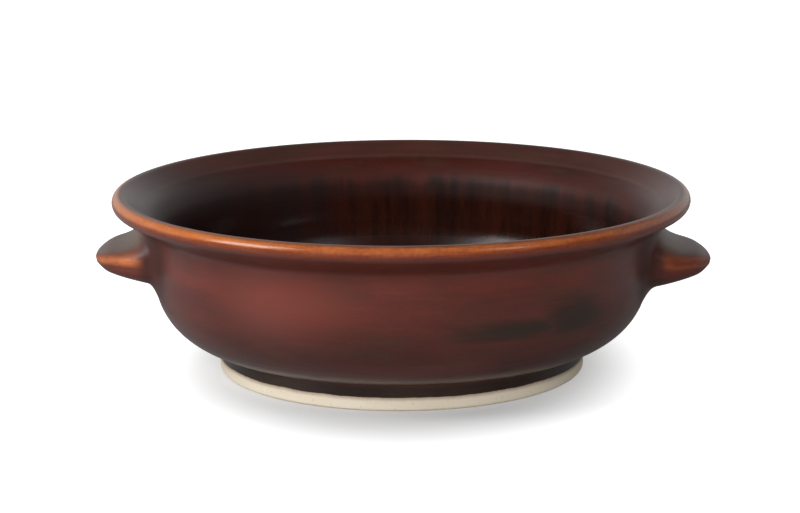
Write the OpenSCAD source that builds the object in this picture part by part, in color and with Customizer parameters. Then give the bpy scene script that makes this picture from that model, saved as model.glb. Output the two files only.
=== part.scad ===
// Round stoneware baking dish: a deep bowl on a foot ring, with a rolled lip and two side lugs.
// The whole dish is one fired piece. Z is up, the table is at z = 0, and the lugs lie along X.

/* [Bowl] */
// Outside diameter of the rolled lip
rim_d = 240; // [200:1:300]
// Height from the table to the top of the lip
dish_h = 75.5; // [60:0.5:100]
// How far the lip stands out past the side
lip_overhang = 15.95; // [12:0.05:20]
// Thickness of the side
wall_t = 5.5; // [4:0.1:9]
// Thickness of the floor above the recess in the base
floor_t = 7; // [5:0.1:10]
// How straight the outside stays before it turns in, higher is straighter
belly_fullness = 3.66; // [2.2:0.01:5]
// How flat the outside runs in to the foot, higher is rounder
belly_tuck = 1.5; // [1.2:0.01:2.5]
// How straight the inside stays before it turns in
hollow_fullness = 3.57; // [2.2:0.01:5]
// How round the inside turns into the floor
hollow_tuck = 2.02; // [1.4:0.01:3]
// Diameter of the flat part of the floor
floor_d = 132; // [90:1:150]

/* [Lip] */
// Radius of the bead round the edge of the lip
bead_r = 3.47; // [2.5:0.01:4.5]
// Slope of the lip's inner face below level at the bead, in degrees
lip_top_slope = 37; // [28:1:46]
// How much steeper the lip's inner face gets towards the bowl, in degrees
lip_face_turn = 6; // [2:1:12]
// Slope of the lip's underside below level, in degrees
lip_under_slope = 28; // [20:1:36]
// Radius of the hollow between the lip and the side
neck_r = 5; // [3:0.1:8]
// Radius of the roll from the inside of the bowl over to the lip
roll_r = 9; // [6:0.1:16]

/* [Foot] */
// Outside diameter of the foot ring
foot_d = 152.6; // [125:0.1:185]
// Height of the foot ring up to the belly
foot_h = 11.3; // [8:0.1:15]
// Width of the foot ring
foot_ring_w = 7.6; // [5:0.1:12]
// Height of the recess inside the foot ring
recess_h = 9; // [6:0.1:11]
// Rounding of the foot ring's lower outer edge
foot_edge_r = 1.6; // [0.8:0.1:2.5]
// Rounding of the foot ring's lower inner edge
foot_inner_edge_r = 1.1; // [0.5:0.1:2]
// Rounding between the foot ring and the recess
recess_corner_r = 2.5; // [1:0.1:5]
// Depth of the trimmed groove between the foot ring and the belly
foot_groove = 0.7; // [0.3:0.1:1.5]

/* [Lugs] */
// How far the left lug stands out from the side
left_lug_reach = 23.65; // [18:0.05:30]
// How far the right lug stands out from the side
right_lug_reach = 25.25; // [18:0.05:30]
// Height of the left lug's edge below the top of the lip
left_lug_drop = 28; // [24:0.5:34]
// Height of the right lug's edge below the top of the lip
right_lug_drop = 30.25; // [24:0.25:34]
// Width of a lug before its sides flare into the bowl
lug_w = 59; // [46:0.1:70]
// Length over which a lug's outline rounds in to its tip
lug_nose = 22.3; // [16:0.1:26]
// Height of a lug's top above its edge, near the tip
lug_crown = 4; // [2.5:0.1:6]
// Rise of a lug's top towards the bowl, per millimetre
lug_top_rise = 0.24; // [0.1:0.01:0.4]
// Depth of a lug's underside below its edge, near the tip
lug_belly = 3.6; // [2.5:0.1:6]
// Fall of a lug's underside towards the bowl, per millimetre
lug_under_fall = 0.25; // [0.1:0.01:0.35]
// Length over which a lug thickens from its tip
lug_tip_round = 7.2; // [4:0.1:10]
// Flatness of a lug's top, 2 is an ellipse and higher is flatter
lug_top_flat = 3.4; // [2:0.1:4]
// Flatness of a lug's underside
lug_under_flat = 3; // [2:0.1:4]
// Radius of the blend between a lug's top and the side
top_blend_r = 15.8; // [10:0.1:20]
// Radius of the blend between a lug's ends and the side
end_blend_r = 4.5; // [2.5:0.1:8]
// Radius of the blend between a lug's underside and the side
under_blend_r = 2.4; // [1.5:0.1:6]

/* [Quality] */
// Facets round the bowl
round_facets = 180; // [72:4:256]
// Steps down each side of the bowl's outline
side_steps = 28; // [16:1:40]
// Steps round the bead of the lip
bead_steps = 18; // [10:1:28]
// Steps round each of the outline's other arcs
arc_steps = 7; // [4:1:12]
// Steps along a lug from its tip to its root
lug_steps = 26; // [16:1:36]
// Points across a lug's top, and again across its underside
lug_points = 24; // [12:2:32]

/* [Hidden] */
glaze_brown = [0.36, 0.17, 0.12];

// The side and the lip
rim_r = rim_d / 2;
body_r = rim_r - lip_overhang;
hollow_r = body_r - wall_t;
bead_at = [rim_r - bead_r, dish_h - bead_r];

// Where the lip's underside leaves the bead, and where the hollow below it meets the side
under_angle = lip_under_slope - 90;
under_start = bead_at + bead_r * [cos(under_angle), sin(under_angle)];
neck_angle = 180 + under_angle;
neck_end_r = body_r + neck_r + neck_r * cos(neck_angle);
neck_end_z = under_start.y - (under_start.x - neck_end_r) * tan(lip_under_slope);
neck_at = [body_r + neck_r, neck_end_z - neck_r * sin(neck_angle)];
belly_top = neck_at.y;

// The lip's inner face leaves the bead and runs, slightly crowned, to the roll over the side
face_angle = lip_top_slope + 90;
face_start = bead_at + bead_r * [cos(face_angle), sin(face_angle)];
roll_angle = face_angle + lip_face_turn;
roll_end_r = hollow_r + roll_r + roll_r * cos(roll_angle);
face_r = (face_start.x - roll_end_r) / (cos(face_angle) - cos(roll_angle));
face_at = face_start - face_r * [cos(face_angle), sin(face_angle)];
roll_end_z = face_at.y + face_r * sin(roll_angle);
roll_at = [hollow_r + roll_r, roll_end_z - roll_r * sin(roll_angle)];

// The foot and the floor
foot_r = foot_d / 2;
recess_r = foot_r - foot_ring_w;
floor_z = recess_h + floor_t;

// A lug's root ends inside the side, and its blends start just under the surface,
// so they cross the side at an angle
blend_into_side = 0.4;
root_r = body_r - wall_t / 2;
blend_r = body_r - blend_into_side;
// How far a lug's upper blend may rise into the underside of the lip
blend_into_lip = 1.5;

// Points along an arc, from angle a0 to angle a1
function arc(centre, r, a0, a1, steps) =
  [for (i = [0 : steps]) let (a = a0 + (a1 - a0) * i / steps) centre + r * [cos(a), sin(a)]];

// Points down one side of the bowl, from its straight top to where it runs level
function bowl_curve(top, bottom, fullness, tuck) =
  [for (i = [0 : side_steps])
    let (a = 90 * i / side_steps)
    [
      bottom.x + (top.x - bottom.x) * pow(cos(a), 2 / tuck),
      top.y + (bottom.y - top.y) * pow(sin(a), 2 / fullness)
    ]];

// Half outline of the bowl, from the middle of the floor over the lip and down to the foot
module bowl_profile() {
  inside = bowl_curve([hollow_r, roll_at.y], [floor_d / 2, floor_z], hollow_fullness, hollow_tuck);
  roll = arc(roll_at, roll_r, 180, roll_angle, arc_steps);
  face = arc(face_at, face_r, roll_angle, face_angle, arc_steps);
  bead = arc(bead_at, bead_r, face_angle, under_angle, bead_steps);
  neck = arc(neck_at, neck_r, neck_angle, 180, arc_steps);
  outside = bowl_curve([body_r, belly_top], [foot_r + foot_groove, foot_h], belly_fullness, belly_tuck);
  foot_outer = arc([foot_r - foot_edge_r, foot_edge_r], foot_edge_r, 0, -90, arc_steps);
  foot_inner = arc([recess_r + foot_inner_edge_r, foot_inner_edge_r], foot_inner_edge_r, -90, -180, arc_steps);
  recess = arc([recess_r - recess_corner_r, recess_h - recess_corner_r], recess_corner_r, 0, 90, arc_steps);
  polygon(concat(
    [[0, floor_z]],
    [for (i = [len(inside) - 1 : -1 : 1]) inside[i]],
    roll,
    [for (i = [1 : arc_steps - 1]) face[i]],
    bead,
    neck,
    [for (i = [1 : len(outside) - 1]) outside[i]],
    [[foot_r, foot_h - foot_groove]],
    foot_outer,
    foot_inner,
    recess,
    [[0, recess_h]]
  ));
}

// Height of the lip's underside at radius r
function lip_under_z(r) =
  r <= body_r ? belly_top
  : r < neck_end_r ? neck_at.y + sqrt(pow(neck_r, 2) - pow(neck_at.x - r, 2))
  : neck_end_z + (r - neck_end_r) * tan(lip_under_slope);

// Rounds a lug off towards its tip: 0 at the tip and 1 from the given length inwards
function round_off(s, length) = s >= length ? 1 : sqrt(1 - pow(1 - s / length, 2));

// How far a blend of radius r has grown at radius at_r from the dish's axis
function blend(r, at_r) =
  let (x = max(0, min(r, r - (at_r - blend_r))))
  r - sqrt(pow(r, 2) - pow(x, 2));

// Section of a lug at radius r: [half width, height of the top, height of the edge, height of the underside]
function lug_section(r, reach, edge_z) =
  let (
    s = body_r + reach - r,
    half_w = lug_w / 2 * round_off(s, lug_nose) + blend(end_blend_r, r),
    top = (lug_crown + lug_top_rise * s) * round_off(s, lug_tip_round) + blend(top_blend_r, r),
    under = (lug_belly + lug_under_fall * s) * round_off(s, lug_tip_round) + blend(under_blend_r, r)
  )
  [half_w, min(edge_z + top, lip_under_z(r) + blend_into_lip), edge_z, edge_z - under];

// Point on the cylinder of radius r, y to the side of the lug's middle and z above the table
function on_ring(r, y, z) = [sqrt(r * r - y * y), y, z];

// Superellipse height at c, where c runs from -1 to 1 across the section
function arch(c, flatness) = pow(max(0, 1 - pow(abs(c), flatness)), 1 / flatness);

// One ring of points round a lug at radius r: over the top, then back along the underside
function lug_ring(r, reach, edge_z) =
  let (
    section = lug_section(r, reach, edge_z),
    across = [for (i = [0 : lug_points])
      let (a = 180 * i / lug_points)
      sign(cos(a)) * pow(abs(cos(a)), 2 / lug_top_flat)]
  )
  concat(
    [for (c = across)
      on_ring(r, section[0] * c, section[2] + (section[1] - section[2]) * arch(c, lug_top_flat))],
    [for (i = [lug_points - 1 : -1 : 1])
      let (c = across[i])
      on_ring(r, section[0] * c, section[2] + (section[3] - section[2]) * arch(c, lug_under_flat))]
  );

// A thumb-thick ear, lofted from its tip to its root through rings that stand on cylinders
// round the dish's axis, so that its flared root lies evenly in the curved side
module lug(reach, drop) {
  edge_z = dish_h - drop;
  tip_r = body_r + reach;
  span = tip_r - blend_r;
  radii = concat(
    [for (i = [1 : lug_steps]) tip_r - span * (1 - cos(180 * i / lug_steps)) / 2],
    [root_r]
  );
  ring_size = 2 * lug_points;
  last = len(radii) - 1;
  points = concat(
    [[tip_r, 0, edge_z]],
    [for (r = radii) each lug_ring(r, reach, edge_z)]
  );
  nose = [for (j = [0 : ring_size - 1]) [0, 1 + (j + 1) % ring_size, 1 + j]];
  sides = [for (i = [0 : last - 1], j = [0 : ring_size - 1])
    let (
      a = 1 + i * ring_size + j,
      b = 1 + i * ring_size + (j + 1) % ring_size
    )
    each [[a, b, b + ring_size], [a, b + ring_size, a + ring_size]]];
  root = 1 + last * ring_size;
  back = [for (j = [0 : lug_points - 1])
    let (
      top_a = root + j,
      top_b = root + j + 1,
      under_a = root + (ring_size - j) % ring_size,
      under_b = root + ring_size - j - 1
    )
    j == 0 ? [top_a, top_b, under_b]
    : j == lug_points - 1 ? [top_a, top_b, under_a]
    : [top_a, top_b, under_b, under_a]];
  polyhedron(points, concat(nose, sides, back));
}

module bowl() {
  rotate_extrude($fn = round_facets)
    bowl_profile();
}

module dish() {
  color(glaze_brown)
    union() {
      bowl();
      lug(right_lug_reach, right_lug_drop);
      rotate([0, 0, 180])
        lug(left_lug_reach, left_lug_drop);
    }
}

dish();
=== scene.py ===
import math
from types import SimpleNamespace

import bmesh
import bpy
import numpy as np
from mathutils import Matrix, Vector


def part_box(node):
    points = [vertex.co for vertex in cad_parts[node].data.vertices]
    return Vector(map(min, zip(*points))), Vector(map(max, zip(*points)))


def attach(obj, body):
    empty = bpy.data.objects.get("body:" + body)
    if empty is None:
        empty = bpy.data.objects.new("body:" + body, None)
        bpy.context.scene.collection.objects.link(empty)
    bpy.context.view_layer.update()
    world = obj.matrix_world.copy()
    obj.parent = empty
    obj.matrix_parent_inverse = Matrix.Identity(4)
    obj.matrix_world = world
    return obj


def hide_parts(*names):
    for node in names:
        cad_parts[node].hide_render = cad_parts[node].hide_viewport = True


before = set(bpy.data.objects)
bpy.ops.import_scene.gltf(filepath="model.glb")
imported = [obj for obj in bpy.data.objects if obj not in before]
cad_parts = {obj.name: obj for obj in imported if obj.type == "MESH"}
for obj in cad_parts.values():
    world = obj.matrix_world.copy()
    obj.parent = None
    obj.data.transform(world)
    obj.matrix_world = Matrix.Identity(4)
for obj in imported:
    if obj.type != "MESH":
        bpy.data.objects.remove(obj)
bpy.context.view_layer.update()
dishLow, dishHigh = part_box("dish")
print("frame loaded")

# The bowl's outline, in metres. The overall sizes come from the frame.
bowlShape = {
    "lipRadius": dishHigh.y,
    "height": dishHigh.z,
    "lipOverhang": 0.01595,
    "wall": 0.0055,
    "floor": 0.007,
    "outsideFullness": 3.66,
    "outsideTuck": 1.5,
    "insideFullness": 3.57,
    "insideTuck": 2.02,
    "floorRadius": 0.066,
    "beadRadius": 0.00347,
    "lipTopSlope": 37,
    "lipFaceTurn": 6,
    "lipUnderSlope": 28,
    "neckRadius": 0.005,
    "rollRadius": 0.009,
    "footRadius": 0.0763,
    "footHeight": 0.0113,
    "footWidth": 0.0076,
    "recessHeight": 0.009,
    "footEdge": 0.0016,
    "footInnerEdge": 0.0011,
    "recessCorner": 0.0025,
    "footGroove": 0.0007,
    "capRadius": 0.060,
}

# How finely the cage is cut: columns round the dish, and the rows that a lug is drawn out of
cageCuts = {
    "columns": 72,
    "lugHalfColumns": 4,
    "lugRows": 5,
    "lugTopHeight": 0.0600,
    "lugFootHeight": 0.0370,
    "smoothLevels": 2,
    "settleRounds": 40,
    "columnsEased": 3,
    "easedShare": (1.0, 0.55, 0.22, 0.06),
}

# How far apart the cage's rows are on the way to each mark of the outline, at the start and the end
rowSteps = {
    "rollStart": (0.0078, 0.0050),
    "rollEnd": (0.0040, 0.0040),
    "beadStart": (0.0048, 0.0026),
    "beadEnd": (0.0016, 0.0016),
    "neckStart": (0.0026, 0.0038),
    "lugTop": (0.0030, 0.0030),
    "lugFoot": None,  # even rows, as many as the lug has
    "bellyEnd": (0.0050, 0.0019),
    "grooveEnd": (0.0005, 0.0005),
    "footEdge": (0.0012, 0.0024),
    "footFlat": (0.0012, 0.0012),
    "footInner": (0.0018, 0.0018),
    "recessSide": (0.0009, 0.0009),
    "recessCorner": (0.0024, 0.0024),
    "ceiling": (0.0017, 0.0017),
    "end": (0.0028, 0.0045),
}

# The two lugs: left at -X and right at +X
lugShape = {
    "width": 0.059,
    "nose": 0.0223,
    "crown": 0.004,
    "topRise": 0.24,
    "belly": 0.0036,
    "underFall": 0.25,
    "tipRound": 0.0072,
    "topFlat": 3.4,
    "underFlat": 3.0,
    "topBlend": 0.0158,
    "endBlend": 0.0045,
    "underBlend": 0.0024,
    "blendInside": 0.0004,
    "creaseOut": 0.0026,
    "creaseUp": 0.0018,
    "tipCap": 0.0013,
    "searchOut": 0.8,
    "searchIn": 0.006,
    "stepsOut": (0.0, 0.09, 0.20, 0.36, 0.54, 0.72, 0.88, 1.0),
    "looseSteps": (1.0, 0.6, 0.3, 0.0, 0.0, 0.0, 0.0, 0.0),
}
leftLug = {"turn": math.pi, "reach": 0.02365, "edge": 0.0475}
rightLug = {"turn": 0.0, "reach": 0.02525, "edge": 0.04525}


def sideCurve(top, bottom, fullness, tuck, count=90):
    points = []
    for i in range(count + 1):
        a = 0.5 * math.pi * i / count
        across = max(0.0, math.cos(a)) ** (2 / tuck)
        down = math.sin(a) ** (2 / fullness)
        points.append((bottom[0] + (top[0] - bottom[0]) * across, top[1] + (bottom[1] - top[1]) * down))
    return points


def arcCurve(centre, radius, start, end, count=24):
    points = []
    for i in range(count + 1):
        a = math.radians(start + (end - start) * i / count)
        points.append((centre[0] + radius * math.cos(a), centre[1] + radius * math.sin(a)))
    return points


def polar(centre, radius, degrees):
    a = math.radians(degrees)
    return centre[0] + radius * math.cos(a), centre[1] + radius * math.sin(a)


# Landmarks of the outline, each a radius and a height
shape = bowlShape
sideRadius = shape["lipRadius"] - shape["lipOverhang"]
hollowRadius = sideRadius - shape["wall"]
beadAt = (shape["lipRadius"] - shape["beadRadius"], shape["height"] - shape["beadRadius"])
underAngle = shape["lipUnderSlope"] - 90
faceAngle = shape["lipTopSlope"] + 90
underStart = polar(beadAt, shape["beadRadius"], underAngle)
underSteepness = math.tan(math.radians(shape["lipUnderSlope"]))
neckEndRadius = sideRadius + shape["neckRadius"] * (1 + math.cos(math.radians(180 + underAngle)))
neckEndHeight = underStart[1] - (underStart[0] - neckEndRadius) * underSteepness
neckAt = (
    sideRadius + shape["neckRadius"],
    neckEndHeight - shape["neckRadius"] * math.sin(math.radians(180 + underAngle)),
)
faceStart = polar(beadAt, shape["beadRadius"], faceAngle)
rollAngle = faceAngle + shape["lipFaceTurn"]
rollEndRadius = hollowRadius + shape["rollRadius"] * (1 + math.cos(math.radians(rollAngle)))
faceTurn = math.cos(math.radians(faceAngle)) - math.cos(math.radians(rollAngle))
faceRadius = (faceStart[0] - rollEndRadius) / faceTurn
faceAt = polar(faceStart, faceRadius, faceAngle + 180)
rollEndHeight = polar(faceAt, faceRadius, rollAngle)[1]
rollAt = (
    hollowRadius + shape["rollRadius"],
    rollEndHeight - shape["rollRadius"] * math.sin(math.radians(rollAngle)),
)
floorHeight = shape["recessHeight"] + shape["floor"]
bellyEnd = (shape["footRadius"] + shape["footGroove"], shape["footHeight"])
recessRadius = shape["footRadius"] - shape["footWidth"]


class Outline:
    # The whole section of the clay as one line, from the floor over the lip to the recess in the base

    def __init__(self):
        self.points = [(shape["capRadius"], floorHeight)]
        self.marks = {"floor": 0}
        inside = sideCurve((hollowRadius, rollAt[1]), (shape["floorRadius"], floorHeight),
                           shape["insideFullness"], shape["insideTuck"])
        self.extend(inside[::-1], "rollStart")
        self.extend(arcCurve(rollAt, shape["rollRadius"], 180, rollAngle), "rollEnd")
        self.extend(arcCurve(faceAt, faceRadius, rollAngle, faceAngle, 30), "beadStart")
        self.extend(arcCurve(beadAt, shape["beadRadius"], faceAngle, underAngle, 48), "beadEnd")
        self.extend([(neckEndRadius, neckEndHeight)], "neckStart")
        self.extend(arcCurve(neckAt, shape["neckRadius"], 180 + underAngle, 180), "neckEnd")
        outside = sideCurve((sideRadius, neckAt[1]), bellyEnd,
                            shape["outsideFullness"], shape["outsideTuck"])
        self.extend(outside, "bellyEnd")
        self.extend([(shape["footRadius"], shape["footHeight"] - shape["footGroove"])], "grooveEnd")
        edge = shape["footEdge"]
        self.extend([(shape["footRadius"], edge)], "footEdge")
        self.extend(arcCurve((shape["footRadius"] - edge, edge), edge, 0, -90), "footFlat")
        edge = shape["footInnerEdge"]
        self.extend([(recessRadius + edge, 0.0)], "footInner")
        self.extend(arcCurve((recessRadius + edge, edge), edge, -90, -180), "recessSide")
        edge = shape["recessCorner"]
        cornerHeight = shape["recessHeight"] - edge
        self.extend([(recessRadius, cornerHeight)], "recessCorner")
        self.extend(arcCurve((recessRadius - edge, cornerHeight), edge, 0, 90), "ceiling")
        self.extend([(shape["capRadius"], shape["recessHeight"])], "end")
        line = np.array(self.points)
        self.line = line
        self.along = np.concatenate([[0.0], np.cumsum(np.hypot(*(line[1:] - line[:-1]).T))])

    def extend(self, points, mark):
        for point in points:
            if math.dist(point, self.points[-1]) > 1e-7:
                self.points.append(point)
        self.marks[mark] = len(self.points) - 1

    def lengthOf(self, mark):
        return float(self.along[self.marks[mark]])

    def at(self, length):
        return (float(np.interp(length, self.along, self.line[:, 0])),
                float(np.interp(length, self.along, self.line[:, 1])))

    def lengthAtHeight(self, height):
        # On the outside, between the lip and the foot, where the height only falls
        first, last = self.marks["beadEnd"], self.marks["bellyEnd"]
        heights = self.line[first:last + 1, 1]
        return float(np.interp(-height, -heights, self.along[first:last + 1]))

    def nearestOutside(self, radius, height):
        return self.nearest(radius, height, self.marks["beadEnd"], self.marks["bellyEnd"])

    def nearest(self, radius, height, first=0, last=None):
        last = len(self.line) - 1 if last is None else last
        a, b = self.line[first:last], self.line[first + 1:last + 1]
        step = b - a
        reach = ((np.array([radius, height]) - a) * step).sum(1) / (step * step).sum(1)
        reach = np.clip(reach, 0, 1)
        away = np.hypot(*(a + step * reach[:, None] - np.array([radius, height])).T)
        i = int(away.argmin())
        return float(self.along[first + i] + reach[i] * np.hypot(*step[i]))


outline = Outline()


def gradedSteps(start, end, firstStep, lastStep):
    # Places from start to end whose spacing grows evenly from firstStep to lastStep
    length = end - start
    count = max(1, round(length / math.sqrt(firstStep * lastStep)))
    growth = (lastStep / firstStep) ** (1 / max(1, count - 1))
    sizes = [growth ** i for i in range(count)]
    places = []
    total = 0.0
    for size in sizes:
        total += size
        places.append(start + length * total / sum(sizes))
    return places


def cageRows():
    # Where the rows of the cage lie along the outline, and the rows that a lug is drawn out of
    lugEnds = {"lugTop": outline.lengthAtHeight(cageCuts["lugTopHeight"]),
               "lugFoot": outline.lengthAtHeight(cageCuts["lugFootHeight"])}
    count = cageCuts["lugRows"]
    start = outline.lengthOf("floor")
    rows, rowAt = [start], {}
    for name, steps in rowSteps.items():
        end = lugEnds[name] if name in lugEnds else outline.lengthOf(name)
        if steps is None:
            rows += [start + (end - start) * (i + 1) / count for i in range(count)]
        else:
            rows += gradedSteps(start, end, *steps)
        rowAt[name] = len(rows) - 1
        start = end
    return rows, rowAt["lugTop"], rowAt["lugFoot"]


rowLengths, lugTopRow, lugFootRow = cageRows()
print("cage rows", len(rowLengths))


def lipUnderHeight(radius):
    if radius <= sideRadius:
        return neckAt[1]
    if radius < neckEndRadius:
        return neckAt[1] + math.sqrt(shape["neckRadius"] ** 2 - (neckAt[0] - radius) ** 2)
    return neckEndHeight + (radius - neckEndRadius) * underSteepness


def sideRadiusAt(height):
    span = neckAt[1] - bellyEnd[1]
    down = min(1.0, max(0.0, (neckAt[1] - height) / span)) ** (shape["outsideFullness"] / 2)
    across = max(0.0, 1 - down * down) ** (1 / shape["outsideTuck"])
    return bellyEnd[0] + (sideRadius - bellyEnd[0]) * across


def inClay(radius, height):
    if height >= neckAt[1]:
        return radius <= sideRadius or height > lipUnderHeight(radius)
    return radius < sideRadiusAt(height)


def roundOff(inward, length):
    return 1.0 if inward >= length else math.sqrt(max(0.0, 1 - (1 - inward / length) ** 2))


def blendAt(size, radius):
    x = max(0.0, min(size, size - (radius - sideRadius + lugShape["blendInside"])))
    return size - math.sqrt(max(0.0, size * size - x * x))


def archHeight(across, flatness):
    return max(0.0, 1 - abs(across) ** flatness) ** (1 / flatness)


def lugSection(lug, radius):
    # Half width, height over the edge line and depth under it, of a lug at this radius
    own = lugShape
    inward = sideRadius + lug["reach"] - radius
    halfWidth = own["width"] / 2 * roundOff(inward, own["nose"]) + blendAt(own["endBlend"], radius)
    tip = roundOff(inward, own["tipRound"])
    top = (own["crown"] + own["topRise"] * inward) * tip + blendAt(own["topBlend"], radius)
    under = (own["belly"] + own["underFall"] * inward) * tip + blendAt(own["underBlend"], radius)
    return halfWidth, top, under


def sectionShare(u, v):
    # Maps a square, -1 to 1 each way, onto the lug's section: shares of its half width and height
    size = max(abs(u), abs(v))
    if size == 0:
        return 0.0, 0.0
    flatness = lugShape["topFlat"] if v >= 0 else lugShape["underFlat"]
    corner = 0.5 ** (1 / flatness)
    if abs(v) >= abs(u):
        across = u / size * corner
        up = math.copysign(archHeight(across, flatness), v)
    else:
        up = v / size * corner
        across = math.copysign(archHeight(up, flatness), u)
    return across * size, up * size


def lugPoint(lug, radius, u, v):
    halfWidth, top, under = lugSection(lug, radius)
    across, up = sectionShare(u, v)
    y = halfWidth * across
    z = lug["edge"] + up * (top if up >= 0 else under)
    return y, z


def meetsBowl(lug, u, v):
    # The radius at which this line along the lug runs into the clay of the bowl
    outer = sideRadius + lugShape["searchOut"] * lug["reach"]
    inner = sideRadius - lugShape["searchIn"]
    steps, halvings = 80, 24
    free = outer
    for i in range(1, steps + 1):
        radius = outer + (inner - outer) * i / steps
        if inClay(radius, lugPoint(lug, radius, u, v)[1]):
            inner = radius
            break
        free = radius
    for _ in range(halvings):
        middle = (free + inner) / 2
        if inClay(middle, lugPoint(lug, middle, u, v)[1]):
            inner = middle
        else:
            free = middle
    return free


def placeOnLug(lug, radius, y, z):
    x = math.sqrt(max(0.0, radius * radius - y * y))
    c, s = math.cos(lug["turn"]), math.sin(lug["turn"])
    return Vector((c * x - s * y, s * x + c * y, z))


def onBowl(lug, turn, length):
    radius, height = outline.at(length)
    a = lug["turn"] + turn
    return Vector((radius * math.cos(a), radius * math.sin(a), height))


def rimOfPatch():
    # The square's rim in order, as column and row steps from its top left corner
    wide, tall = 2 * cageCuts["lugHalfColumns"], cageCuts["lugRows"]
    rim = [(i, 0) for i in range(wide)]
    rim += [(wide, i) for i in range(tall)]
    rim += [(wide - i, tall) for i in range(wide)]
    rim += [(0, tall - i) for i in range(tall)]
    return rim


def squareAt(i, j):
    return i / cageCuts["lugHalfColumns"] - 1, 1 - 2 * j / cageCuts["lugRows"]


def lugRootShade(lug):
    # For each place on the patch's rim: where the lug leaves the clay, and the crease on the bowl
    rim = rimOfPatch()
    starts, flat = {}, []
    for i, j in rim:
        u, v = squareAt(i, j)
        radius = meetsBowl(lug, u, v)
        y, z = lugPoint(lug, radius, u, v)
        starts[i, j] = radius
        flat.append(Vector((math.asin(y / radius) * sideRadius, outline.nearestOutside(radius, z))))
    creases = {}
    for n, key in enumerate(rim):
        tangent = flat[(n + 1) % len(rim)] - flat[n - 1]
        out = Vector((tangent.y, -tangent.x)).normalized()
        if out.dot(flat[n] - sum(flat, Vector((0, 0))) / len(flat)) < 0:
            out = -out
        moved = flat[n] + out * lugShape["creaseOut"]
        creases[key] = (moved.x / sideRadius, moved.y)
    return starts, creases


def discShare(x, y):
    # Maps a square, -1 to 1 each way, onto a disc: share of the radius, and the angle
    size = max(abs(x), abs(y))
    if size < 1e-9:
        return 0.0, 0.0
    if abs(x) >= abs(y):
        turn = 0.25 * math.pi * y / x + (math.pi if x < 0 else 0)
    else:
        turn = 0.5 * math.pi - 0.25 * math.pi * x / y + (math.pi if y < 0 else 0)
    return size, turn % (2 * math.pi)


def capDisc(bm, height, columnLayer):
    # A disc of squares, whose rim has one corner for each column
    side = cageCuts["columns"] // 4
    before = set(bm.verts)
    bmesh.ops.create_grid(bm, x_segments=side, y_segments=side, size=1)
    fresh = [v for v in bm.verts if v not in before]
    for v in fresh:
        share, turn = discShare(v.co.x, v.co.y)
        v[columnLayer] = round(turn / (2 * math.pi) * cageCuts["columns"]) % cageCuts["columns"]
        radius = share * shape["capRadius"]
        v.co = (radius * math.cos(turn), radius * math.sin(turn), height)
    return fresh


def dishCage():
    # The cage of the whole dish: a disc for the floor, rows along the outline, a disc for the recess
    bm = bmesh.new()
    columnOf = bm.verts.layers.int.new("column")
    rowOf = bm.verts.layers.int.new("row")
    for name in ("loose", "lugUp", "lugOut"):
        bm.verts.layers.float.new(name)
    columns = cageCuts["columns"]
    capDisc(bm, floorHeight, columnOf)
    rim = [e for e in bm.edges if e.is_boundary]
    corners, bands = {}, []
    for row in range(1, len(rowLengths)):
        made = bmesh.ops.extrude_edge_only(bm, edges=rim)["geom"]
        radius, height = outline.at(rowLengths[row])
        for v in made:
            if isinstance(v, bmesh.types.BMVert):
                a = 2 * math.pi * v[columnOf] / columns
                v.co = (radius * math.cos(a), radius * math.sin(a), height)
                v[rowOf] = row
                corners[v[columnOf], row] = v
        rim = [e for e in made if isinstance(e, bmesh.types.BMEdge) and e.is_boundary]
        bands.append([f for f in made if isinstance(f, bmesh.types.BMFace)])
    patches = [lugPatch(bands, lug) for lug in (rightLug, leftLug)]
    for lug, patch in zip((rightLug, leftLug), patches):
        drawOutLug(bm, lug, patch, corners)
    capDisc(bm, shape["recessHeight"], columnOf)
    bmesh.ops.remove_doubles(bm, verts=[v for v in bm.verts if v.is_boundary], dist=1e-6)
    bmesh.ops.recalc_face_normals(bm, faces=bm.faces)
    return bm


def lugPatch(bands, lug):
    # The faces of the side that a lug is drawn out of
    halfTurn = 2 * math.pi * cageCuts["lugHalfColumns"] / cageCuts["columns"]
    patch = []
    for band in bands[lugTopRow:lugFootRow]:
        for f in band:
            centre = f.calc_center_median()
            away = (math.atan2(centre.y, centre.x) - lug["turn"] + math.pi) % (2 * math.pi) - math.pi
            if abs(away) < halfTurn:
                patch.append(f)
    return patch


def easeToRoot(bm, lug, creases, corners):
    # Eases the bowl's own rows and columns to the crease round the lug's root
    looseOf, upOf, outOf = (bm.verts.layers.float[name] for name in ("loose", "lugUp", "lugOut"))
    columns, half, tall = cageCuts["columns"], cageCuts["lugHalfColumns"], cageCuts["lugRows"]
    middle = round(lug["turn"] / (2 * math.pi) * columns)
    beyond, eased = cageCuts["columnsEased"], cageCuts["easedShare"]
    for i in range(-beyond, 2 * half + beyond + 1):
        for j in range(-beyond, tall + beyond + 1):
            if 0 < i < 2 * half and 0 < j < tall:
                continue
            near = (min(max(i, 0), 2 * half), min(max(j, 0), tall))
            turn = 2 * math.pi * (i - half) / columns
            nearTurn = 2 * math.pi * (near[0] - half) / columns
            share = eased[abs(i - near[0])] * eased[abs(j - near[1])]
            turn += share * (creases[near][0] - nearTurn)
            pull = creases[near][1] - rowLengths[lugTopRow + near[1]]
            length = rowLengths[lugTopRow + j] + share * pull
            corner = corners[(middle + i - half) % columns, lugTopRow + j]
            corner.co = onBowl(lug, turn, length)
            if near == (i, j):
                corner[looseOf] = 1.0
                corner[upOf] = sectionShare(*squareAt(i, j))[1]
                corner[outOf] = 0.05
            elif max(abs(i - near[0]), abs(j - near[1])) == 1:
                corner[looseOf] = 0.5
                corner[outOf] = 0.02


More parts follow.
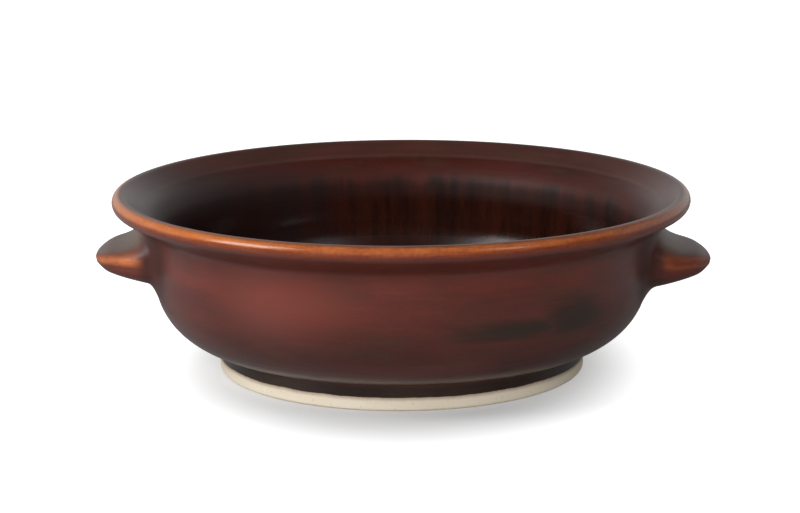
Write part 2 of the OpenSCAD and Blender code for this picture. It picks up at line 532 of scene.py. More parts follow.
def tipRadius(lug, y, up, inner):
    # The radius at which the lug's rounded tip passes this place of its section
    outer = sideRadius + lug["reach"]
    flatness = lugShape["topFlat"] if up >= 0 else lugShape["underFlat"]
    for _ in range(30):
        radius = (inner + outer) / 2
        halfWidth, top, under = lugSection(lug, radius)
        high = top if up >= 0 else under
        solid = min(halfWidth, high) > 1e-9
        if solid and (abs(y) / halfWidth) ** flatness + (abs(up) / high) ** flatness < 1:
            inner = radius
        else:
            outer = radius
    return (inner + outer) / 2


def drawOutLug(bm, lug, patch, corners):
    # Draws the patch out ring after ring, each on the lug's own section at its radius
    columnOf, rowOf = bm.verts.layers.int["column"], bm.verts.layers.int["row"]
    looseOf, upOf, outOf = (bm.verts.layers.float[name] for name in ("loose", "lugUp", "lugOut"))
    columns, half, tall = cageCuts["columns"], cageCuts["lugHalfColumns"], cageCuts["lugRows"]
    middle = round(lug["turn"] / (2 * math.pi) * columns)
    starts, creases = lugRootShade(lug)
    easeToRoot(bm, lug, creases, corners)
    last = sideRadius + lug["reach"] - lugShape["tipCap"]
    for share, loose in zip(lugShape["stepsOut"], lugShape["looseSteps"]):
        made = bmesh.ops.extrude_face_region(bm, geom=patch)["geom"]
        bmesh.ops.delete(bm, geom=patch, context="FACES")
        patch = [f for f in made if isinstance(f, bmesh.types.BMFace)]
        for v in made:
            if not isinstance(v, bmesh.types.BMVert):
                continue
            i = (v[columnOf] - middle + half) % columns
            j = v[rowOf] - lugTopRow
            if (i, j) in starts:
                first = starts[i, j] + lugShape["creaseUp"]
                radius = first + (last - first) * share
                y, z = lugPoint(lug, radius, *squareAt(i, j))
            else:
                y, z = lugPoint(lug, last, *squareAt(i, j))
                radius = tipRadius(lug, y, z - lug["edge"], last)
            v.co = placeOnLug(lug, radius, y, z)
            v[looseOf] = loose
            v[upOf] = sectionShare(*squareAt(i, j))[1]
            v[outOf] = (radius - sideRadius) / lug["reach"]


def settle(bm, rounds):
    # Moves the cage's corners until its smooth surface passes through their first places, except
    # where they are loose: round the roots of the lugs, which stay as soft as the cage makes them
    verts = list(bm.verts)
    index = {v: n for n, v in enumerate(verts)}
    wanted = np.array([v.co for v in verts], float)
    looseOf = bm.verts.layers.float["loose"]
    firm = 1 - np.array([v[looseOf] for v in verts])[:, None]
    beside, across = [], []
    for e in bm.edges:
        a, b = index[e.verts[0]], index[e.verts[1]]
        beside += [(a, b), (b, a)]
    for f in bm.faces:
        a, b, c, d = (index[v] for v in f.verts)
        across += [(a, c), (c, a), (b, d), (d, b)]
    beside, across = np.array(beside), np.array(across)
    valence = np.bincount(beside[:, 0], minlength=len(verts)).astype(float)[:, None]
    cage = wanted.copy()
    for _ in range(rounds):
        smooth = cage * valence ** 2
        np.add.at(smooth, beside[:, 0], 4 * cage[beside[:, 1]])
        np.add.at(smooth, across[:, 0], cage[across[:, 1]])
        smooth /= valence * (valence + 5)
        cage += firm * (wanted - smooth)
    for v, place in zip(verts, cage):
        v.co = place
    return float((np.abs(wanted - smooth) * (firm == 1)).max())


def markOutline(bm):
    # Each corner keeps how far along the outline it lies, which the glaze's colours follow
    alongOf = bm.verts.layers.float.new("along")
    clear, hair, lugSpan = 0.001, 1e-6, 0.04
    for v in bm.verts:
        radius = math.hypot(v.co.x, v.co.y)
        onLug = radius > sideRadius + 1.5 * clear and v.co.z < neckAt[1] - clear
        byLug = abs(v.co.y) < lugSpan and radius > sideRadius - 2 * clear
        if onLug or (byLug and v.co.z < cageCuts["lugTopHeight"]):
            v[alongOf] = outline.lengthAtHeight(v.co.z)
        elif radius < shape["capRadius"] - hair:
            inside = v.co.z > shape["recessHeight"] + clear
            past = shape["capRadius"] - radius
            v[alongOf] = -past if inside else rowLengths[-1] + past
        else:
            v[alongOf] = outline.nearest(radius, v.co.z)


def makeDish():
    bm = dishCage()
    markOutline(bm)
    miss = settle(bm, cageCuts["settleRounds"])
    print("cage faces", len(bm.faces), "largest miss in mm", round(miss * 1000, 4))
    mesh = bpy.data.meshes.new("dish")
    bm.to_mesh(mesh)
    bm.free()
    mesh.polygons.foreach_set("use_smooth", [True] * len(mesh.polygons))
    for layer in ("column", "row", "loose"):
        mesh.attributes.remove(mesh.attributes[layer])
    piece = bpy.data.objects.new("glazedDish", mesh)
    bpy.context.scene.collection.objects.link(piece)
    smooth = piece.modifiers.new("smooth", "SUBSURF")
    smooth.levels = cageCuts["smoothLevels"]
    smooth.render_levels = cageCuts["smoothLevels"]
    keepSmooth(piece)
    return piece


def keepSmooth(piece):
    # Keeps the smooth surface as the mesh itself, and holds it to the CAD dish's box
    shapes = bpy.context.evaluated_depsgraph_get()
    shapes.update()
    mesh = bpy.data.meshes.new_from_object(piece.evaluated_get(shapes), preserve_all_data_layers=True,
                                           depsgraph=shapes)
    piece.modifiers.clear()
    piece.data = mesh
    places = np.empty(3 * len(mesh.vertices), np.float32)
    mesh.vertices.foreach_get("co", places)
    held = np.clip(places.reshape(-1, 3), np.array(dishLow), np.array(dishHigh))
    mesh.vertices.foreach_set("co", held.ravel())
    mesh.update()


dish = makeDish()
print("dish shaped")


# Colours are linear. The clouds of the glaze go from its deep to its bright colour.
glazeLook = {
    "floorDeep": (0.018, 0.007, 0.0045),
    "floorBright": (0.038, 0.011, 0.007),
    "insideDeep": (0.011, 0.0042, 0.003),
    "insideBright": (0.039, 0.009, 0.005),
    "redZoneDeep": (0.025, 0.005, 0.003),
    "redZoneBright": (0.075, 0.010, 0.005),
    # Painted highlight: a thin lighter line at the edge of the liner glaze
    "ridgeDeep": (0.064, 0.029, 0.023),
    "ridgeBright": (0.108, 0.050, 0.040),
    "lipDeep": (0.042, 0.013, 0.010),
    "lipBright": (0.092, 0.024, 0.016),
    # Painted shade for the left of the inside
    "shadeInside": (0.028, 0.014, 0.013),
    "amberDeep": (0.270, 0.060, 0.018),
    "amberBright": (0.560, 0.165, 0.045),
    # Painted highlight on the bead at the left end
    "amberHighlight": (0.800, 0.240, 0.045),
    "emberDeep": (0.141, 0.025, 0.010),
    "emberBright": (0.281, 0.058, 0.015),
    "underDeep": (0.074, 0.014, 0.0095),
    "underBright": (0.133, 0.024, 0.015),
    "sideDeep": (0.071, 0.015, 0.011),
    "sideBright": (0.150, 0.027, 0.017),
    "bellyDeep": (0.034, 0.010, 0.007),
    "bellyBright": (0.085, 0.016, 0.010),
    "footDeep": (0.0125, 0.0068, 0.0046),
    "footBright": (0.026, 0.012, 0.008),
    "olive": (0.052, 0.027, 0.013),
    # Painted light: the glow at the left of the front
    "leftLightGlow": (0.205, 0.043, 0.028),
    # Painted sheen: the grey of the lug tops stands in for the backdrop they mirror
    "lugTopSheenDeep": (0.105, 0.078, 0.064),
    "lugTopSheenBright": (0.170, 0.115, 0.092),
    # Painted shade in the crease at a lug's root
    "lugRootShade": (0.036, 0.010, 0.007),
    "blemish": (0.016, 0.013, 0.008),
    "clayPale": (0.85, 0.77, 0.63),
    "clayDark": (0.60, 0.47, 0.32),
    "toastedEdge": (0.20, 0.09, 0.045),
    "roughInside": 0.06,
    "roughRoll": 0.28,
    "roughOutside": 0.30,
    "roughLug": 0.46,
    "roughClay": 0.82,
    "beadPolish": 0.11,
    "cloudRoughness": 0.06,
    "blemishRoughness": 0.10,
    "glazeIor": 1.5,
    "peel": 0.035,
    "rings": 0.08,
    "clayRelief": 0.25,
}

# Marks on the glaze, in metres: the dark patches and a glow of painted light, each with its middle and
# its spread
glazeMarks = {
    "blemishes": [
        ((0.0665, -0.0765, 0.0395), (0.016, 0.030, 0.0100)),
        ((0.044, -0.0905, 0.0370), (0.026, 0.030, 0.0048)),
    ],
    "leftLightGlow": ((-0.045, -0.090, 0.0485), (0.036, 0.040, 0.0150)),
    "glazeLine": 0.00565,
    "lineWobble": 0.0016,
    "runLength": 0.016,
}

# Heights on the inside where its glaze changes
insideBands = {
    "wallFoot": 0.0300,
    "turnInEnd": 0.0300,
    "turnInStart": 0.0400,
    "glossFull": 0.0480,
    "rollFoot": 0.0480,
    "rollFull": 0.0560,
    "glossEnd": 0.0580,
    "redStart": 0.0585,
    "shadeFull": 0.0600,
    "rollFade": 0.0620,
    "redFull": 0.0625,
    "rollTop": 0.0690,
    "linerEdge": 0.0696,
    "shadeEnd": 0.0736,
}

# How fine each noise is: higher is finer
glazeGrain = {
    "runs": 15.0,
    "fineRuns": 60.0,
    "clouds": 17.0,
    "streaks": 34.0,
    "speckle": 900.0,
    "rimStreaks": 11.0,
    "mottle": 620.0,
    "olive": 30.0,
    "glazeLine": 60.0,
    "clayGrain": 260.0,
    "clayClouds": 30.0,
    "claySpecks": 700.0,
    "rings": 210.0,
    "skin": 190.0,
}

# How much each noise weighs in the tone, which goes from the deep colour to the bright one
toneParts = {
    "clouds": 0.74,
    "cloudsFrom": 0.01,
    "streaks": 0.22,
    "runs": 0.92,
    "runsFrom": -0.04,
    "fineRuns": 0.14,
    "speckle": 0.14,
    "mottle": 0.34,
    "rimStreaks": 0.70,
}

# Where each effect starts and where it is full, and its value at both where they aren't 0 and 1
glazeZones = {
    "tone": (0.30, 0.80),
    "rimTone": (0.28, 0.76),
    "leftSide": (0.02, -0.45),
    "olive": (0.46, 0.66, 0.0, 0.42),
    "leftLightGlow": (1.6, 0.5, 0.0, 0.60),
    "rootStart": (0.0, 0.05),
    "rootEnd": (0.40, 0.14),
    "lugTop": (0.60, 0.92),
    "lugTopOut": (0.06, 0.30),
    "shoulderHeight": (0.70, 1.0, 0.36, 0.12),
    "shoulderBreadth": (0.70, 1.0, 0.34, 0.60),
    "thin": (1.55, 0.45),
    "outOnLug": (0.34, 0.62),
    "leftEndHighlight": (-0.10, -0.80, 0.0, 0.30),
    "rightEndShade": (0.35, 1.0, 0.0, 0.92),
    "blemish": (2.05, 1.10, 0.0, 0.80),
    "claySpecks": (0.66, 0.74),
}

# How strongly a few effects show, from 0 to 1
glazeStrength = {
    "shadeInside": 0.75,
    "lugRootShade": 0.75,
    "rightShadeOnBead": 0.40,
    "claySpecks": 0.45,
    "toastedEdge": 0.55,
}


def freshTree(owner):
    owner.use_nodes = True
    owner.node_tree.nodes.clear()
    return owner.node_tree


def addNode(tree, kind, **settings):
    node = tree.nodes.new(kind)
    for name, value in settings.items():
        setattr(node, name, value)
    return node


def plug(tree, target, values):
    # Sets the inputs of a node: a socket is linked, anything else is its value
    for key, value in values.items():
        socket = target.inputs[key]
        if isinstance(value, bpy.types.NodeSocket):
            tree.links.new(value, socket)
        else:
            socket.default_value = value


def endTree(tree, kind, shader):
    # Joins the shader to the tree's output, and lays the nodes out in rows
    plug(tree, addNode(tree, kind), {"Surface": shader.outputs[0]})
    inRow = 12
    for n, node in enumerate(tree.nodes):
        node.location = (n % inRow * 200, n // inRow * -320)


def doMath(tree, operation, *values):
    node = addNode(tree, "ShaderNodeMath", operation=operation)
    plug(tree, node, dict(enumerate(values)))
    return node.outputs[0]


def times(tree, value, *others):
    for other in others:
        value = doMath(tree, "MULTIPLY", value, other)
    return value


def plus(tree, base, value, weight):
    return doMath(tree, "MULTIPLY_ADD", value, weight, base)


def oneMinus(tree, value):
    return doMath(tree, "SUBTRACT", 1.0, value)


def doVector(tree, operation, *values):
    node = addNode(tree, "ShaderNodeVectorMath", operation=operation)
    plug(tree, node, dict(enumerate(values)))
    return node.outputs["Value"] if operation == "LENGTH" else node.outputs[0]


def splitVector(tree, vector):
    node = addNode(tree, "ShaderNodeSeparateXYZ")
    plug(tree, node, {0: vector})
    return list(node.outputs)


def joinVector(tree, *values):
    node = addNode(tree, "ShaderNodeCombineXYZ")
    plug(tree, node, dict(enumerate(values)))
    return node.outputs[0]


def howFar(tree, place, spot, spread):
    # How far a place is from a spot, as a share of the spot's spread each way
    away = doVector(tree, "SUBTRACT", place, spot)
    away = doVector(tree, "DIVIDE", away, spread)
    return doVector(tree, "LENGTH", away)


def ease(tree, value, low, high, toLow=0.0, toHigh=1.0):
    node = addNode(tree, "ShaderNodeMapRange", interpolation_type="SMOOTHSTEP")
    plug(tree, node, {"Value": value, "From Min": low, "From Max": high, "To Min": toLow,
                      "To Max": toHigh})
    return node.outputs[0]


def zone(tree, value, name):
    return ease(tree, value, *glazeZones[name])


def noise(tree, vector, scale, detail=3.0, roughness=0.55, distortion=0.0):
    node = addNode(tree, "ShaderNodeTexNoise")
    plug(tree, node, {"Vector": vector, "Scale": scale, "Detail": detail, "Roughness": roughness,
                      "Distortion": distortion})
    return node.outputs["Fac"]


def squeezed(tree, vector, up):
    # Squeezes the height, so that a noise lies round the dish in bands
    node = addNode(tree, "ShaderNodeMapping")
    plug(tree, node, {"Vector": vector, "Scale": (1.0, 1.0, up)})
    return node.outputs[0]


def attribute(tree, name):
    return addNode(tree, "ShaderNodeAttribute", attribute_name=name).outputs["Fac"]


def mixFloat(tree, share, first, second):
    node = addNode(tree, "ShaderNodeMix", data_type="FLOAT")
    plug(tree, node, {0: share, 2: first, 3: second})
    return node.outputs[0]


def mixColour(tree, share, first, second):
    node = addNode(tree, "ShaderNodeMix", data_type="RGBA")
    plug(tree, node, {0: share, 6: first, 7: second})
    return node.outputs[2]


def rgba(colour):
    return (*colour, 1.0)


def tint(tree, share, colour, name):
    return mixColour(tree, share, colour, rgba(glazeLook[name]))


def outlineRamp(tree, along, stops):
    # A colour for each place along the outline
    first, last = -shape["capRadius"], rowLengths[-1] + shape["capRadius"]
    whole = last - first
    node = addNode(tree, "ShaderNodeValToRGB")
    ramp = node.color_ramp
    places = [(min(1.0, max(0.0, (place - first) / whole)), colour) for place, colour in sorted(stops)]
    ramp.elements[0].position = places[0][0]
    ramp.elements[0].color = rgba(places[0][1])
    ramp.elements[1].position = places[-1][0]
    ramp.elements[1].color = rgba(places[-1][1])
    for place, colour in places[1:-1]:
        ramp.elements.new(place).color = rgba(colour)
    plug(tree, node, {"Fac": plus(tree, -first / whole, along, 1 / whole)})
    return node.outputs["Color"]


def beadAlong(degreesFromUp):
    # The place along the outline of a point on the lip's bead
    start, end = outline.lengthOf("beadStart"), outline.lengthOf("beadEnd")
    share = (degreesFromUp + faceAngle - 90) / (faceAngle - underAngle)
    return start + share * (end - start)


def insideAlong(height):
    first, last = outline.marks["floor"], outline.marks["beadStart"]
    return float(np.interp(height, outline.line[first:last + 1, 1], outline.along[first:last + 1]))


def easeInside(tree, along, low, high, toLow=0.0, toHigh=1.0):
    # Eases from one named height on the inside to another
    start, end = (insideAlong(insideBands[name]) for name in (low, high))
    return ease(tree, along, start, end, toLow, toHigh)


def between(first, second, share):
    return tuple(a + (b - a) * share for a, b in zip(first, second))


def glazeStops(tone):
    # The glaze's colours in order along the outline, from the middle of the floor to the foot
    floor, inside, red, ridge, lip, amber, ember, under, side, belly, foot = (
        glazeLook[name + tone] for name in ("floor", "inside", "redZone", "ridge", "lip", "amber",
                                            "ember", "under", "side", "belly", "foot"))
    mark, atHeight = outline.lengthOf, outline.lengthAtHeight
    edge = insideBands["linerEdge"]
    return [
        (-shape["capRadius"], floor),
        (insideAlong(insideBands["wallFoot"]), inside),
        (insideAlong(insideBands["redStart"]), inside),
        (insideAlong(insideBands["redFull"]), red),
        (insideAlong(edge - 0.0006), red),
        # Painted highlight where the liner glaze's edge catches the light
        (insideAlong(edge - 0.0002), ridge),
        (insideAlong(edge + 0.0003), lip),
        (beadAlong(2), lip),
        (beadAlong(20), between(lip, amber, 0.40)),
        (beadAlong(36), amber),
        (beadAlong(60), amber),
        (beadAlong(80), ember),
        (beadAlong(100), between(under, ember, 0.5)),
        (beadAlong(126), under),
        (mark("neckEnd"), under),
        (atHeight(0.058), side),
        (atHeight(0.048), side),
        (atHeight(0.030), between(side, belly, 0.75)),
        (atHeight(0.020), belly),
        (mark("bellyEnd") - 0.0012, belly),
        (mark("bellyEnd") + 0.0004, between(belly, amber, 0.10)),
        (mark("grooveEnd") + 0.0008, foot),
        (mark("end"), foot),
    ]


def glazeMasks(tree):
    # What the parts of the glaze share: the place on the dish, the noises, and the zones from 0 to 1
    grain, parts = glazeGrain, toneParts
    on = SimpleNamespace()
    on.place = addNode(tree, "ShaderNodeTexCoord").outputs["Object"]
    on.along, on.lugUp, on.lugOut = (attribute(tree, name) for name in ("along", "lugUp", "lugOut"))
    x, y, height = splitVector(tree, on.place)
    heading = doVector(tree, "NORMALIZE", joinVector(tree, x, y))
    on.headingX, headingY, _ = splitVector(tree, heading)
    on.inside = ease(tree, on.along, outline.lengthOf("rollEnd") + 0.002, outline.lengthOf("rollStart"))
    on.outside = oneMinus(tree, on.inside)
    on.bead = times(tree, ease(tree, on.along, beadAlong(0), beadAlong(30)),
                    ease(tree, on.along, beadAlong(130), beadAlong(95)))

    # Runs of the glaze down the side: they change with the heading and hardly with the height
    runs = joinVector(tree, on.headingX, headingY, times(tree, height, 1.6))
    on.runs = noise(tree, runs, grain["runs"], roughness=0.5)
    fineRuns = noise(tree, runs, grain["fineRuns"], detail=2.0)

    # Clouds and streaks that lie round the dish, as the wheel and the brush left them
    flat = squeezed(tree, on.place, 4.5)
    on.clouds = noise(tree, flat, grain["clouds"], detail=4.0, roughness=0.6, distortion=0.4)
    on.olive = noise(tree, flat, grain["olive"], detail=7.0, roughness=0.72)
    band = squeezed(tree, on.place, 22.0)
    on.streaks = noise(tree, band, grain["streaks"], detail=4.0, roughness=0.65)
    speckle = noise(tree, on.place, grain["speckle"], detail=2.0)
    cloudy = plus(tree, parts["cloudsFrom"], on.clouds, parts["clouds"])
    cloudy = plus(tree, cloudy, on.streaks, parts["streaks"])
    runny = plus(tree, parts["runsFrom"], on.runs, parts["runs"])
    runny = plus(tree, runny, fineRuns, parts["fineRuns"])
    tone = mixFloat(tree, on.inside, cloudy, runny)
    on.tone = zone(tree, plus(tree, tone, speckle, parts["speckle"]), "tone")

    # On the bead and the edges of the lugs the thin glaze is streaked and speckled
    rim = joinVector(tree, on.headingX, headingY, times(tree, on.along, 95.0))
    rimStreaks = noise(tree, rim, grain["rimStreaks"], detail=5.0, roughness=0.7)
    on.mottle = noise(tree, on.place, grain["mottle"], detail=2.0, roughness=0.6)
    rimTone = plus(tree, times(tree, on.mottle, parts["mottle"]), rimStreaks, parts["rimStreaks"])
    on.rimTone = zone(tree, rimTone, "rimTone")
    return on


def bodyColour(tree, on):
    # Inside, the runs carry the colours of the wall down with them
    reach = glazeMarks["runLength"]
    carried = plus(tree, on.along, plus(tree, -0.5 * reach, on.runs, reach), on.inside)
    deep, bright = (outlineRamp(tree, carried, glazeStops(tone)) for tone in ("Deep", "Bright"))
    colour = mixColour(tree, mixFloat(tree, on.bead, on.tone, on.rimTone), deep, bright)

    # Painted shade: the inside is darker at its left, where the wall lies in shadow
    leftSide = zone(tree, plus(tree, on.headingX, on.runs, 0.30), "leftSide")
    liner = easeInside(tree, on.along, "shadeEnd", "shadeFull")
    leftInsideShade = times(tree, leftSide, liner, glazeStrength["shadeInside"])
    colour = tint(tree, leftInsideShade, colour, "shadeInside")

    # Outside it wanders between red and a browner olive
    olive = times(tree, zone(tree, on.olive, "olive"), on.outside, oneMinus(tree, on.bead))
    colour = tint(tree, olive, colour, "olive")

    # Painted light: a brighter red glow at the left of the front, where the light from the left falls
    away = plus(tree, howFar(tree, on.place, *glazeMarks["leftLightGlow"]), on.clouds, 0.9)
    return tint(tree, times(tree, zone(tree, away, "leftLightGlow"), on.outside), colour, "leftLightGlow")


def edgeColour(tree, on, colour):
    # Painted shade darkens a lug at its root, in the crease; a painted sheen makes its top greyer
    root = times(tree, zone(tree, on.lugOut, "rootStart"), zone(tree, on.lugOut, "rootEnd"))
    colour = tint(tree, times(tree, root, glazeStrength["lugRootShade"]), colour, "lugRootShade")
    # Painted reflection: the lug's top is greyer where it mirrors the bright backdrop
    top = times(tree, zone(tree, on.lugUp, "lugTop"), zone(tree, on.lugOut, "lugTopOut"))
    topSheenColour = tint(tree, on.tone, rgba(glazeLook["lugTopSheenDeep"]), "lugTopSheenBright")
    colour = mixColour(tree, top, colour, topSheenColour)

    # The glaze runs thin over the lug's shoulder and breaks to amber there
    shoulder = zone(tree, on.lugOut, "shoulderHeight")
    breadth = zone(tree, on.lugOut, "shoulderBreadth")
    fromEdge = doMath(tree, "ABSOLUTE", doMath(tree, "SUBTRACT", on.lugUp, shoulder))
    fromEdge = plus(tree, doMath(tree, "DIVIDE", fromEdge, breadth), on.mottle, 0.50)
    outOnLug = zone(tree, plus(tree, on.lugOut, on.clouds, 0.30), "outOnLug")
    thin = times(tree, zone(tree, fromEdge, "thin"), outOnLug)
    amber = tint(tree, on.rimTone, rgba(glazeLook["amberDeep"]), "amberBright")
    colour = mixColour(tree, thin, colour, amber)

    # Painted highlight: the bead is paler at the left end of the dish, where the light falls; painted
    # shade keeps the edges redder and darker at the right end
    aboveEmber = ease(tree, on.along, beadAlong(84), beadAlong(64))
    leftEndHighlight = times(tree, zone(tree, on.headingX, "leftEndHighlight"), on.bead, aboveEmber)
    colour = tint(tree, leftEndHighlight, colour, "amberHighlight")
    # Painted shade: the edges and the bead darken to ember red at the right end, away from the light
    edges = doMath(tree, "MAXIMUM", thin, times(tree, on.bead, glazeStrength["rightShadeOnBead"]))
    rightEndShade = times(tree, zone(tree, on.headingX, "rightEndShade"), edges)
    return tint(tree, rightEndShade, colour, "emberDeep")


def blemishShare(tree, on):
    # Dull green-black patches where the glaze crawled, low on the side at the front right
    nearest = None
    for spot, spread in glazeMarks["blemishes"]:
        away = howFar(tree, on.place, spot, spread)
        nearest = away if nearest is None else doMath(tree, "MINIMUM", nearest, away)
    nearest = plus(tree, plus(tree, nearest, on.clouds, 0.9), on.streaks, 0.7)
    return times(tree, zone(tree, nearest, "blemish"), on.outside)


def bareClay(tree, on):
    # Below the glaze line the clay is bare: where it is so, its colour and its grain
    look, grain = glazeLook, glazeGrain
    line = outline.lengthOf("grooveEnd") + bellyEnd[1] - shape["footGroove"] - glazeMarks["glazeLine"]
    wobble = noise(tree, on.place, grain["glazeLine"], detail=4.0, roughness=0.7)
    reach = plus(tree, on.along, wobble, glazeMarks["lineWobble"])
    bare = ease(tree, reach, line + 0.0006, line + 0.0010)
    toasted = ease(tree, reach, line + 0.0026, line + 0.0009)
    clouds = noise(tree, on.place, grain["clayClouds"])
    specks = zone(tree, noise(tree, on.place, grain["claySpecks"], detail=1.0), "claySpecks")
    halfway = between(look["clayPale"], look["clayDark"], 0.5)
    clay = mixColour(tree, clouds, rgba(look["clayPale"]), rgba(halfway))
    clay = tint(tree, times(tree, specks, glazeStrength["claySpecks"]), clay, "clayDark")
    clay = tint(tree, times(tree, toasted, glazeStrength["toastedEdge"]), clay, "toastedEdge")
    return bare, clay, noise(tree, on.place, grain["clayGrain"], detail=5.0, roughness=0.7)


def glazeRoughness(tree, on, blemish, bare):
    # Glossy inside, satin on the lip, the outside and the lugs
    look = glazeLook
    glossy = times(tree, easeInside(tree, on.along, "glossEnd", "glossFull"),
                   easeInside(tree, on.along, "turnInStart", "turnInEnd", 1.0, -0.5))
    rough = mixFloat(tree, glossy, look["roughOutside"], look["roughInside"])
    lugMore = ease(tree, on.lugOut, 0.0, 0.06, 0.0, look["roughLug"] - look["roughOutside"])
    rough = doMath(tree, "ADD", rough, lugMore)
    rough = plus(tree, rough, on.bead, -look["beadPolish"])
    roll = times(tree, easeInside(tree, on.along, "rollTop", "rollFade"),
                 easeInside(tree, on.along, "rollFoot", "rollFull"))
    rough = plus(tree, rough, roll, look["roughRoll"])
    rough = plus(tree, rough, on.clouds, look["cloudRoughness"])
    rough = plus(tree, rough, blemish, look["blemishRoughness"])
    return mixFloat(tree, bare, rough, look["roughClay"])


def glazeRelief(tree, on, bare, clayGrain):
    # Fine relief: throwing rings, the skin of the glaze and the grain of the clay
    look = glazeLook
    rings = addNode(tree, "ShaderNodeTexNoise", noise_dimensions="1D")
    plug(tree, rings, {"W": on.along, "Scale": glazeGrain["rings"], "Detail": 2.0, "Roughness": 0.5})
    ringsHere = ease(tree, on.inside, 0.0, 1.0, look["rings"], 0.1 * look["rings"])
    skin = noise(tree, on.place, glazeGrain["skin"], detail=2.0)
    relief = plus(tree, times(tree, rings.outputs["Fac"], ringsHere), skin, look["peel"])
    relief = times(tree, relief, oneMinus(tree, bare))
    relief = plus(tree, relief, times(tree, clayGrain, bare), look["clayRelief"])
    bump = addNode(tree, "ShaderNodeBump")
    plug(tree, bump, {"Strength": 1.0, "Distance": 0.001, "Height": relief})
    return bump.outputs[0]


def glazedStoneware():
    material = bpy.data.materials.new("glazedStoneware")
    tree = freshTree(material)
    on = glazeMasks(tree)
    blemish = blemishShare(tree, on)
    bare, clay, clayGrain = bareClay(tree, on)
    colour = edgeColour(tree, on, bodyColour(tree, on))
    colour = tint(tree, blemish, colour, "blemish")
    colour = mixColour(tree, bare, colour, clay)
    shader = addNode(tree, "ShaderNodeBsdfPrincipled")
    plug(tree, shader, {"Base Color": colour, "Roughness": glazeRoughness(tree, on, blemish, bare),
                        "Normal": glazeRelief(tree, on, bare, clayGrain), "IOR": glazeLook["glazeIor"]})
    endTree(tree, "ShaderNodeOutputMaterial", shader)
    return material


dish.data.materials.append(glazedStoneware())
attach(dish, "root")
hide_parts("dish")
print("dish glazed")


# The floor and the world. The camera sees the floor glow more, the further it is from the dish, so the
# dimmer floor near the dish is partly painted shadow beside the real one.
stageLook = {
    "floorSize": 6.0,
    "floorSeen": 0.55,
    "floorRoughness": 0.9,
    "glowNear": 0.24,
    "glowFar": 1.0,
    "glowStart": 0.080,
    "glowEnd": 0.150,
    "glowSquash": (1.3, 1.0, 1.0),
    "floorBounce": 0.50,
    "floorGloss": 0.38,
    "worldLow": 0.62,
    "worldHigh": 0.16,
    "worldFront": 0.02,
    "worldSeen": 1.0,
}

# Each lamp: its place, its width and height, how bright its face is, and whether the glaze mirrors it
lamps = {
    "keySoftbox": ((-0.867, -0.423, 0.667), (0.50, 0.50), 9.0, True),
    "rightSoftbox": ((0.62, -0.62, 0.66), (0.22, 0.30), 3.4, True),
    "frontFill": ((-0.40, -2.20, 0.60), (2.40, 1.20), 4.5, False),
    "backFill": ((0.40, 2.20, 0.50), (2.40, 1.00), 2.2, False),
}
lampAim = Vector((0.0, 0.0, 0.04))

# The photograph's camera, fitted to the circles of the rim and the foot
cameraLook = {
    "place": (-0.00058, -1.04265, 0.27471),
    "degreesDown": 12.376,
    "roll": -0.0051,
    "lens": 114.66,
    "sensorWidth": 36,
    "nearest": 0.01,
}


def floorMaterial():
    look = stageLook
    material = bpy.data.materials.new("paleFloor")
    tree = freshTree(material)
    place = addNode(tree, "ShaderNodeTexCoord").outputs["Object"]
    away = doVector(tree, "LENGTH", doVector(tree, "MULTIPLY", place, look["glowSquash"]))
    # Painted shadow: the glow is weakest near the dish
    glow = ease(tree, away, look["glowStart"], look["glowEnd"], look["glowNear"], look["glowFar"])
    seen = addNode(tree, "ShaderNodeBsdfPrincipled")
    plug(tree, seen, {"Base Color": rgba([look["floorSeen"]] * 3), "Roughness": look["floorRoughness"],
                      "Specular IOR Level": 0.0, "Emission Color": (1, 1, 1, 1),
                      "Emission Strength": glow})
    bounce = addNode(tree, "ShaderNodeBsdfPrincipled")
    plug(tree, bounce, {"Base Color": rgba([look["floorBounce"]] * 3), "Roughness": look["floorGloss"]})
    path = addNode(tree, "ShaderNodeLightPath")
    pick = addNode(tree, "ShaderNodeMixShader")
    plug(tree, pick, {0: path.outputs["Is Camera Ray"], 1: bounce.outputs[0], 2: seen.outputs[0]})
    endTree(tree, "ShaderNodeOutputMaterial", pick)
    return material


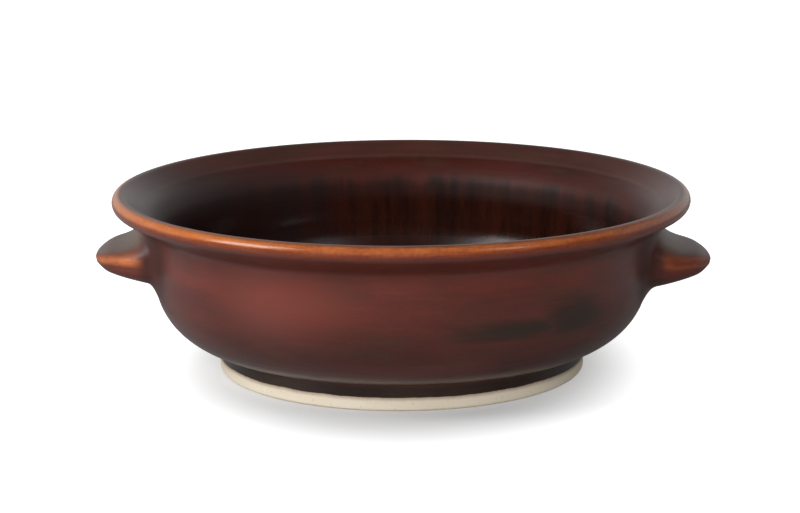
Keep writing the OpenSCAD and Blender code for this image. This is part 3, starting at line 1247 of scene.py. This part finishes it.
def makeFloor():
    bm = bmesh.new()
    bmesh.ops.create_grid(bm, x_segments=1, y_segments=1, size=stageLook["floorSize"] / 2)
    mesh = bpy.data.meshes.new("floor")
    bm.to_mesh(mesh)
    bm.free()
    mesh.materials.append(floorMaterial())
    floor = bpy.data.objects.new("floor", mesh)
    bpy.context.scene.collection.objects.link(floor)


def makeLamps():
    for name, (place, size, brightness, mirrored) in lamps.items():
        light = bpy.data.lights.new(name, "AREA")
        light.shape = "RECTANGLE"
        light.size, light.size_y = size
        light.energy = brightness * math.pi * size[0] * size[1]
        lamp = bpy.data.objects.new(name, light)
        lamp.visible_glossy = mirrored
        lamp.location = place
        lamp.rotation_euler = (lampAim - Vector(place)).to_track_quat("-Z", "Y").to_euler()
        bpy.context.scene.collection.objects.link(lamp)


def makeWorld():
    # Bright low down behind the dish, dimmer above it, and dark towards the camera
    look = stageLook
    world = bpy.data.worlds.new("studio")
    tree = freshTree(world)
    direction = addNode(tree, "ShaderNodeTexCoord").outputs["Generated"]
    _, back, up = splitVector(tree, direction)
    light = ease(tree, up, 0.25, 0.70, look["worldLow"], look["worldHigh"])
    light = plus(tree, look["worldFront"], ease(tree, back, -0.02, 0.08), light)
    path = addNode(tree, "ShaderNodeLightPath")
    strength = mixFloat(tree, path.outputs["Is Camera Ray"], light, look["worldSeen"])
    sky = addNode(tree, "ShaderNodeBackground")
    plug(tree, sky, {"Color": (1, 1, 1, 1), "Strength": strength})
    endTree(tree, "ShaderNodeOutputWorld", sky)
    bpy.context.scene.world = world


def makeCamera():
    data = bpy.data.cameras.new("camera")
    data.lens = cameraLook["lens"]
    data.sensor_width = cameraLook["sensorWidth"]
    data.clip_start = cameraLook["nearest"]
    camera = bpy.data.objects.new("camera", data)
    camera.location = cameraLook["place"]
    tilt = Matrix.Rotation(math.radians(90 - cameraLook["degreesDown"]), 4, "X")
    camera.rotation_euler = (tilt @ Matrix.Rotation(cameraLook["roll"], 4, "Z")).to_euler()
    bpy.context.scene.collection.objects.link(camera)
    bpy.context.scene.camera = camera


makeFloor()
makeLamps()
makeWorld()
makeCamera()
bpy.context.scene.view_settings.view_transform = "Standard"
print("stage set")
